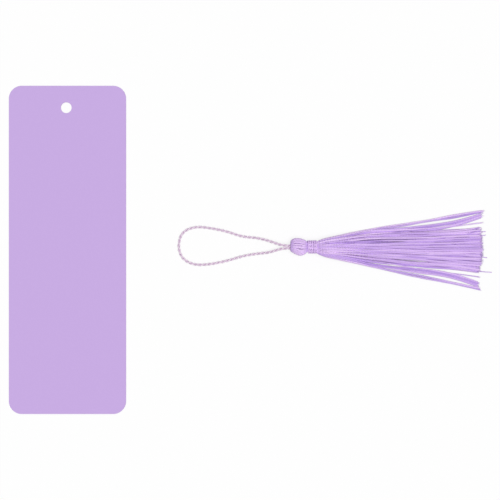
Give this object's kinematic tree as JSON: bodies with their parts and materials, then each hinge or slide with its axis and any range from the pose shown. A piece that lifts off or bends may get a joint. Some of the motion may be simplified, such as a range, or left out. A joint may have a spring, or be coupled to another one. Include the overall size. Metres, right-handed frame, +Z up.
{
  "type": "bookmark",
  "caption": "Flat card bookmark with rounded corners and a punched hole, with its loose thread tassel on a twisted cord loop lying beside it.",
  "frame": {"origin": "middle of the card's back face, on the table", "axes": "+X from the card to the tassel's tips, +Y up the card to its hole, +Z up from the table"},
  "size_m": [0.2033, 0.14, 0.0075],
  "materials": {
    "card_paper": "matte coloured card",
    "twisted_cord": "two-ply twisted cord with a soft sheen",
    "tassel_thread": "silky floss thread with a soft sheen",
    "binding_thread": "silky wound thread"
  },
  "bodies": {
    "card": {"card": "card_paper"},
    "tassel": {"head": "tassel_thread", "cord_knot": "twisted_cord", "neck_binding": "binding_thread"},
    "loop": {"cord_loop": "twisted_cord"},
    "skirt": {"skirt_row_01": "tassel_thread", "skirt_row_02": "tassel_thread", "skirt_row_03": "tassel_thread", "skirt_row_04": "tassel_thread", "skirt_row_05": "tassel_thread", "skirt_row_06": "tassel_thread", "skirt_row_07": "tassel_thread", "skirt_row_08": "tassel_thread", "skirt_row_09": "tassel_thread", "skirt_row_10": "tassel_thread", "skirt_row_11": "tassel_thread", "skirt_row_12": "tassel_thread", "skirt_row_13": "tassel_thread"}
  },
  "joints": [
    {"name": "tassel_lift", "type": "slide", "parent": "card", "child": "tassel", "axis": [0, 0, 1], "range_m": [0, 0.06]},
    {"name": "loop_swing", "type": "hinge", "parent": "tassel", "child": "loop", "pos_m": [0.0949, 0.00145, 0.00375], "axis": [0, 0, 1], "range_deg": [-25, 25]},
    {"name": "skirt_swing", "type": "hinge", "parent": "tassel", "child": "skirt", "pos_m": [0.1066, 0.00145, 0.00375], "axis": [0, 0, 1], "range_deg": [-25, 25]}
  ]
}
